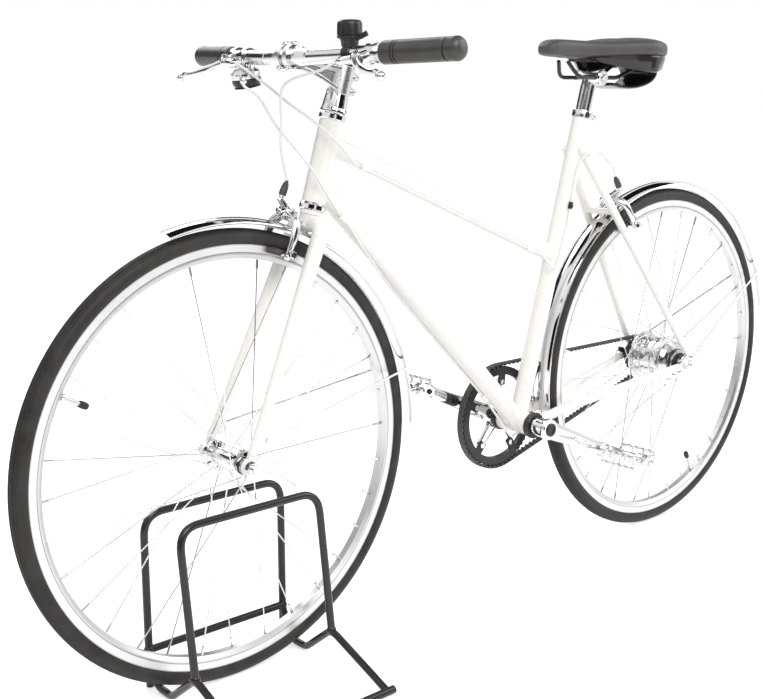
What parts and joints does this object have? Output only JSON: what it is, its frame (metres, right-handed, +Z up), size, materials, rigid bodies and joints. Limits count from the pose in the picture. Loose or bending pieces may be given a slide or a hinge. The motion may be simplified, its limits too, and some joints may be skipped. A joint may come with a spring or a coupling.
{
  "type": "step-through bicycle in a wheel stand",
  "caption": "Step-through city bicycle with a dropped top tube, belt drive, hub gears, rim brakes and mudguards, parked with its front wheel in a low tubular stand.",
  "frame": {"origin": "on the floor, under the middle of the box round the bicycle and its stand", "axes": "+X points forward, +Y to the rider's left, +Z up"},
  "size_m": [1.7231, 0.6046, 0.9644],
  "materials": {
    "paint": "gloss cream paint",
    "polished": "polished",
    "tyre": "matt rubber",
    "rubber": "matt moulded rubber",
    "cable": "pale cable housing",
    "black_paint": "gloss black powder coat",
    "black_plastic": "black moulded",
    "saddle_cover": "matt synthetic leather"
  },
  "bodies": {
    "frame": {"head_tube": "paint", "headset_cups": "polished", "top_tube": "paint", "down_tube": "paint", "seat_tube": "paint", "bottom_bracket_shell": "paint", "bottom_bracket_cups": "black_plastic", "chainstays": "paint", "seatstays": "paint", "seatstay_bridge": "paint", "dropouts": "polished", "seat_clamp": "polished", "seatpost": "polished", "saddle_rails": "black_paint", "saddle_pad": "saddle_cover", "saddle_base": "black_plastic", "rear_brake_arms": "polished", "rear_brake_pads": "rubber", "rear_mudguard": "polished", "rear_mudguard_stays": "polished", "rear_axle": "polished", "hub_shift_arm": "black_plastic", "drive_belt": "rubber", "cable_stops": "paint", "rear_brake_cable": "cable", "shift_cable": "cable", "stand_right_hoop": "black_paint", "stand_left_hoop": "black_paint", "stand_base": "black_paint"},
    "fork": {"fork_crown": "paint", "fork_blades": "paint", "headset_spacer": "polished", "stem": "polished", "stem_faceplate": "polished", "handlebar": "polished", "grips": "rubber", "lever_bodies": "polished", "lever_blades": "polished", "bell": "black_plastic", "shifter": "polished", "front_brake_arms": "polished", "front_brake_pads": "rubber", "front_mudguard": "polished", "front_mudguard_stays": "polished", "front_axle": "polished", "front_brake_cable": "cable", "brake_lead": "cable", "shift_lead": "cable"},
    "front_wheel": {"front_tyre": "tyre", "front_rim": "polished", "front_hub": "polished"},
    "rear_wheel": {"rear_tyre": "tyre", "rear_rim": "polished", "rear_hub": "polished"},
    "crankset": {"crank_arms": "polished", "belt_ring": "black_plastic", "pedal_axles": "polished"},
    "rear_sprocket": {"rear_sprocket": "black_plastic"},
    "left_pedal": {"left_pedal": "polished"},
    "right_pedal": {"right_pedal": "polished"}
  },
  "joints": [
    {"name": "steering", "type": "hinge", "parent": "frame", "child": "fork", "pos_m": [0.34318, 0, 0.75472], "axis": [-0.2924, 0, 0.9563], "range_deg": [-4.5, 4.5], "deforming": ["brake_lead", "shift_lead"]},
    {"name": "front_wheel_spin", "type": "hinge", "parent": "fork", "child": "front_wheel", "pos_m": [0.52256, 0, 0.339], "axis": [0, 1, 0], "continuous": true},
    {"name": "rear_wheel_spin", "type": "hinge", "parent": "frame", "child": "rear_wheel", "pos_m": [-0.51244, 0, 0.339], "axis": [0, 1, 0], "continuous": true},
    {"name": "crank_spin", "type": "hinge", "parent": "frame", "child": "crankset", "pos_m": [-0.10225, 0, 0.283], "axis": [0, 1, 0], "continuous": true},
    {"name": "rear_sprocket_spin", "type": "hinge", "parent": "frame", "child": "rear_sprocket", "pos_m": [-0.51244, 0, 0.339], "axis": [0, 1, 0], "continuous": true},
    {"name": "left_pedal_spin", "type": "hinge", "parent": "crankset", "child": "left_pedal", "pos_m": [-0.25815, 0, 0.21521], "axis": [0, 1, 0], "continuous": true},
    {"name": "right_pedal_spin", "type": "hinge", "parent": "crankset", "child": "right_pedal", "pos_m": [0.05365, 0, 0.35079], "axis": [0, 1, 0], "continuous": true}
  ],
  "couplings": [
    {"joint": "rear_sprocket_spin", "follows": "crank_spin", "ratio": 2.5}
  ]
}
